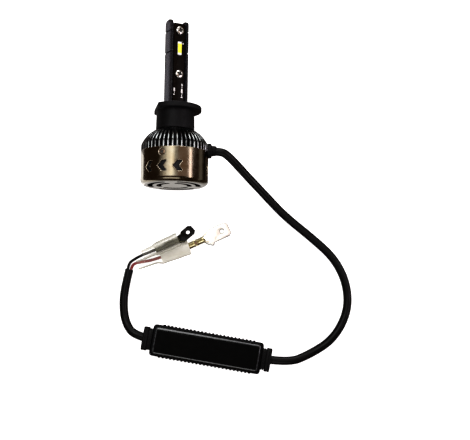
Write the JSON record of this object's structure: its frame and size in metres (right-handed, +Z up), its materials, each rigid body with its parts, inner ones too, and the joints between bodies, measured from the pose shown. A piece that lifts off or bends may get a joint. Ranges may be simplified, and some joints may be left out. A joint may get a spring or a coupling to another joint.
{
  "type": "headlight bulb",
  "caption": "LED headlight bulb with an H1 style flange collar, finned heatsink, fan in a vented shell, inline driver box and blade terminals on a short lead.",
  "frame": {"origin": "centre of the flange's seat, on the lamp axis, level with the flange's front face", "axes": "+Y along the lamp axis towards the LED tip; +Z up, off the surface that the bulb lies on; +X towards the cable gland"},
  "size_m": [0.0991, 0.1494, 0.0284],
  "materials": {
    "core_anodised": "blue-grey anodised, satin",
    "board_black": "black solder mask",
    "led_ceramic": "white ceramic",
    "phosphor": "yellow phosphor in silicone",
    "screw_steel": "bright nickel",
    "shell_screw": "dark brown",
    "collar_black": "matt black",
    "heatsink_black": "black anodised with bright fin edges",
    "shell_bronze": "bronze anodised, brushed",
    "fan_plastic": "black moulded",
    "circuit_green": "green solder mask",
    "bearing_bronze": "sintered bronze",
    "stator_steel": "laminated silicon steel",
    "copper_wire": "enamelled copper",
    "shaft_steel": "ground steel",
    "magnet_grey": "bonded ferrite",
    "lead_black": "PVC insulation",
    "wire_red": "PVC insulation",
    "gland_rubber": "moulded rubber",
    "cable_jacket": "satin PVC jacket",
    "driver_plastic": "black ABS",
    "component_silver": "drawn aluminium can",
    "component_dark": "moulded epoxy and ferrite",
    "terminal_dark": "tinned brass, dull",
    "terminal_bright": "tinned brass, bright",
    "sleeve_clear": "milky clear soft PVC"
  },
  "bodies": {
    "lamp": {"lamp_core": "core_anodised", "led_board_front": "board_black", "led_board_back": "board_black", "led_package_front": "led_ceramic", "led_package_back": "led_ceramic", "led_phosphor_front": "phosphor", "led_phosphor_back": "phosphor", "board_screws": "screw_steel", "shell_screws": "shell_screw", "heatsink": "heatsink_black", "fan_shell": "shell_bronze", "fan_frame": "fan_plastic", "fan_circuit_board": "circuit_green", "driver_board": "circuit_green", "fan_bearing": "bearing_bronze", "fan_stator": "stator_steel", "fan_coils": "copper_wire", "led_leads": "lead_black", "driver_leads": "lead_black", "black_wire": "lead_black", "red_wire": "wire_red", "cable_gland": "gland_rubber", "driver_boot_lamp": "gland_rubber", "driver_boot_supply": "gland_rubber", "lamp_cable": "cable_jacket", "supply_cable": "cable_jacket", "driver_case": "driver_plastic", "driver_lid": "driver_plastic", "driver_capacitor": "component_silver", "driver_inductor": "component_dark", "driver_chip": "component_dark", "driver_small_parts": "component_dark", "black_terminal": "terminal_dark", "red_terminal": "terminal_bright", "black_sleeve": "sleeve_clear", "red_sleeve": "sleeve_clear"},
    "collar": {"mount_collar": "collar_black"},
    "fan_rotor": {"fan_impeller": "fan_plastic", "fan_shaft": "shaft_steel", "fan_magnet": "magnet_grey"}
  },
  "joints": [
    {"name": "collar_turn", "type": "hinge", "parent": "lamp", "child": "collar", "pos_m": [0, 0, 0], "axis": [0, 1, 0], "continuous": true},
    {"name": "fan_spin", "type": "hinge", "parent": "lamp", "child": "fan_rotor", "pos_m": [0, -0.028, 0], "axis": [0, 1, 0], "continuous": true}
  ]
}
